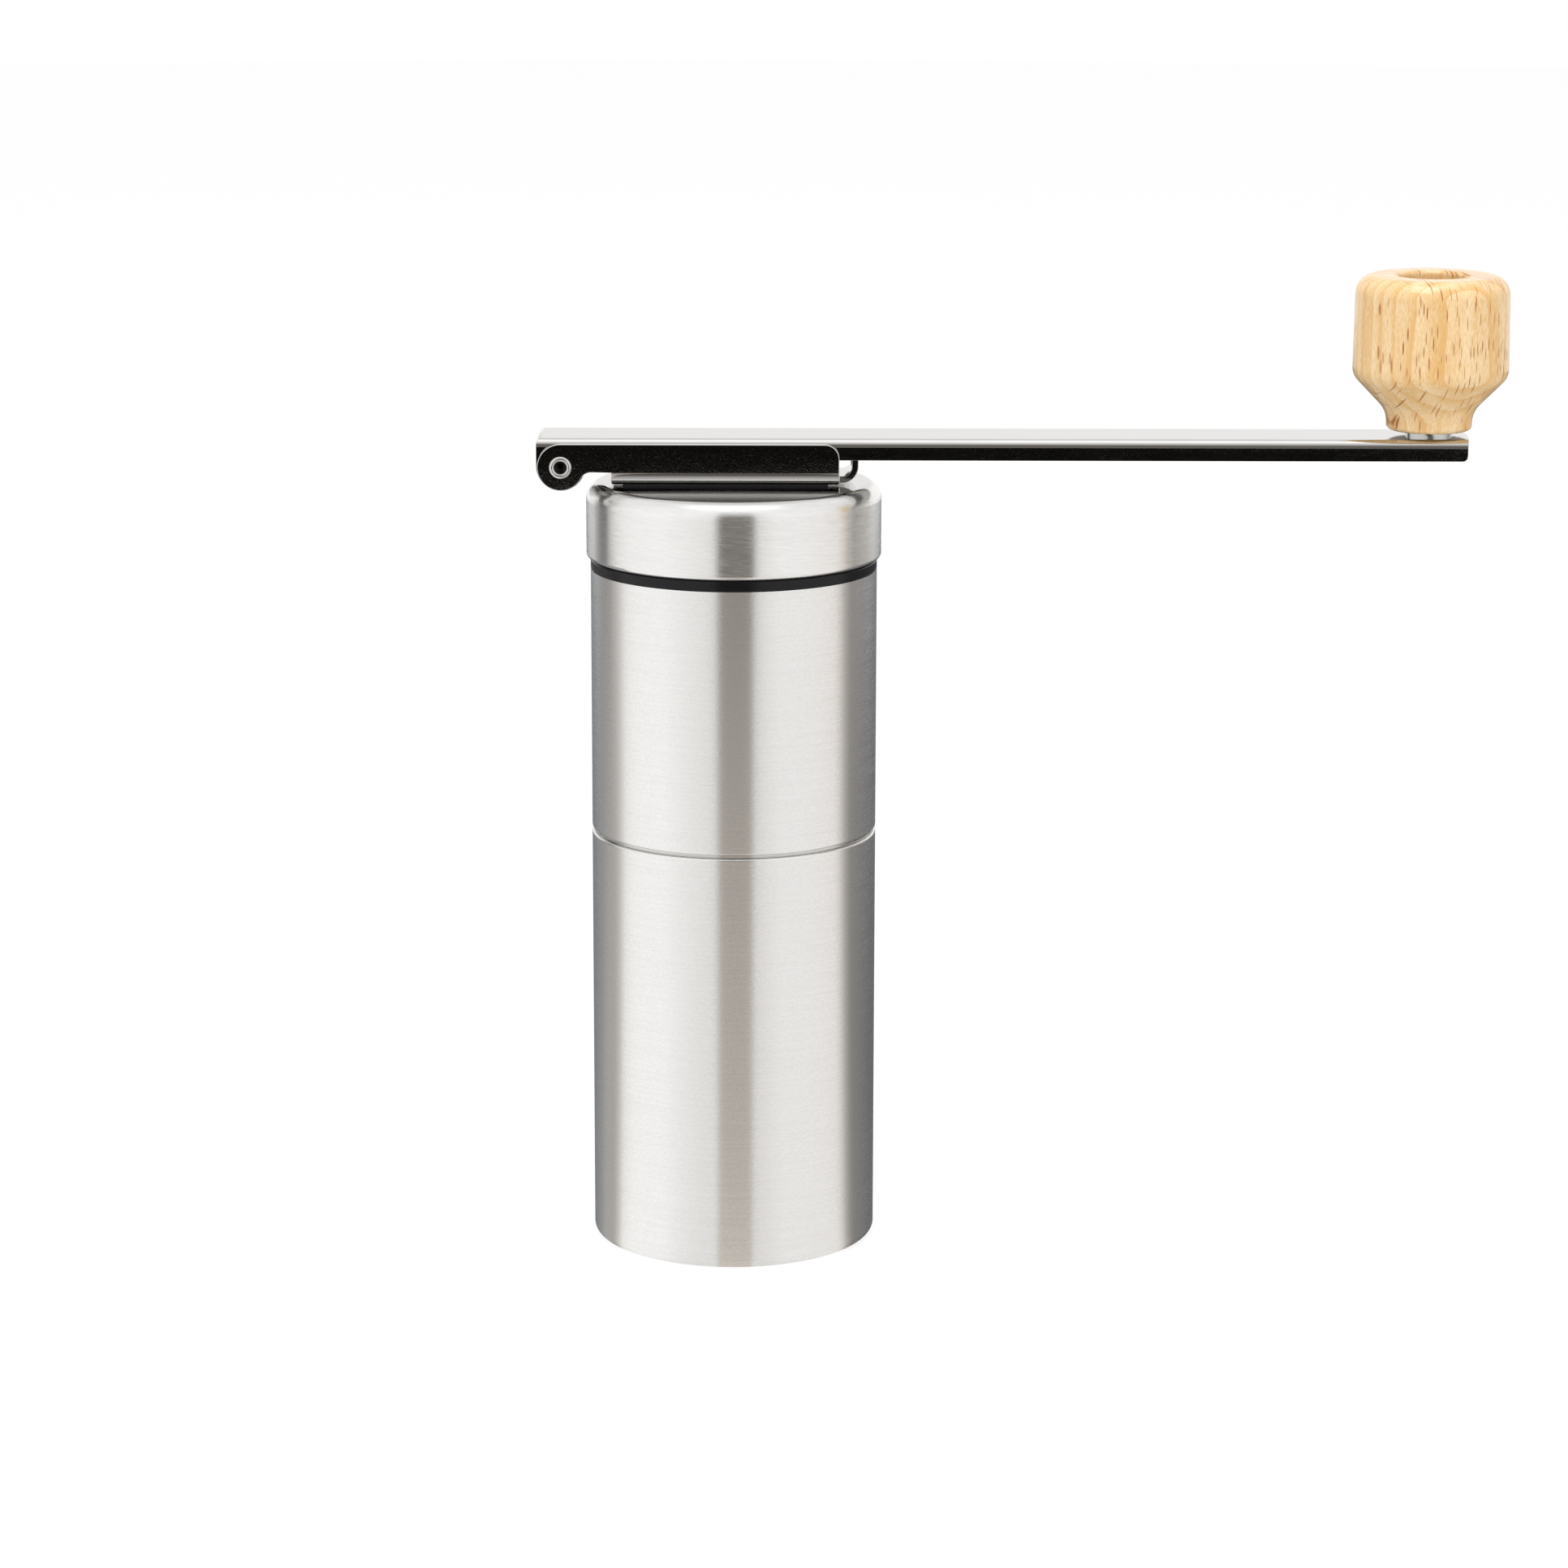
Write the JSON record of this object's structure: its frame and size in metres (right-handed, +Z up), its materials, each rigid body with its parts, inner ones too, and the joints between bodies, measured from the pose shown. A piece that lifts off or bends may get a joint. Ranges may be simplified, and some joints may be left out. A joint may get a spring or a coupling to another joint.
{
  "type": "hand crank coffee grinder",
  "caption": "Upright brushed steel coffee hand grinder: hopper over a push-on grounds container, folding channel crank with a turned wooden knob, conical burrs inside.",
  "frame": {"origin": "centre of the container's flat base, on the shaft's axis", "axes": "+Z up along the shaft; +X from the shaft towards the knob, along the crank arm; +Y across the arm"},
  "size_m": [0.1749, 0.0536, 0.1787],
  "materials": {
    "brushed_steel_shell": "fine brushing round the body",
    "polished_steel": "mirror polish",
    "black_plastic": "gloss",
    "matte_black_plastic": "fine moulded texture",
    "white_ceramic": "unglazed, fine ground",
    "bronze_bush": "sintered, oiled",
    "ground_steel": "ground and turned",
    "beech": "turned, clear varnish"
  },
  "bodies": {
    "container": {"container_shell": "brushed_steel_shell"},
    "hopper": {"hopper_shell": "brushed_steel_shell", "neck_sleeve": "polished_steel", "hopper_collar": "black_plastic", "top_bush": "bronze_bush", "burr_carrier": "matte_black_plastic", "lower_bush": "bronze_bush", "ring_burr": "white_ceramic", "burr_retainer": "ground_steel", "retainer_screws": "ground_steel"},
    "shaft": {"drive_shaft": "ground_steel", "shaft_clip": "ground_steel", "clip_washer": "ground_steel", "burr_spring": "ground_steel", "spring_washer": "ground_steel"},
    "inner_burr": {"cone_burr": "white_ceramic", "burr_driver": "matte_black_plastic"},
    "nut": {"adjusting_nut": "matte_black_plastic"},
    "lid": {"lid_cap": "brushed_steel_shell", "lid_core": "matte_black_plastic", "bracket_spacer": "matte_black_plastic", "crank_bracket": "polished_steel", "bracket_screws": "ground_steel", "hinge_pin": "polished_steel"},
    "arm": {"crank_arm": "polished_steel", "knob_axle": "ground_steel", "knob_washer": "polished_steel", "knob_top_washer": "ground_steel", "knob_screw": "ground_steel"},
    "handle": {"knob": "beech"}
  },
  "joints": [
    {"name": "hopper_pull", "type": "slide", "parent": "container", "child": "hopper", "axis": [0, 0, 1], "range_m": [0, 0.03]},
    {"name": "crank_turn", "type": "hinge", "parent": "hopper", "child": "shaft", "pos_m": [0, 0, 0.1], "axis": [0, 0, 1], "continuous": true},
    {"name": "burr_adjust", "type": "slide", "parent": "shaft", "child": "inner_burr", "axis": [0, 0, 1], "range_m": [-0.0012, 0.0004], "deforming": ["burr_spring"]},
    {"name": "nut_turn", "type": "hinge", "parent": "inner_burr", "child": "nut", "pos_m": [0, 0, 0.058], "axis": [0, 0, 1], "range_deg": [-540, 180]},
    {"name": "lid_lift", "type": "slide", "parent": "shaft", "child": "lid", "axis": [0, 0, 1], "range_m": [0, 0.025]},
    {"name": "arm_fold", "type": "hinge", "parent": "lid", "child": "arm", "pos_m": [-0.031, 0, 0.14485], "axis": [0, -1, 0], "range_deg": [0, 257]},
    {"name": "knob_spin", "type": "hinge", "parent": "arm", "child": "handle", "pos_m": [0.1255, 0, 0.16], "axis": [0, 0, 1], "continuous": true}
  ],
  "couplings": [
    {"joint": "nut_turn", "follows": "burr_adjust", "rad_per_m": 7854}
  ]
}
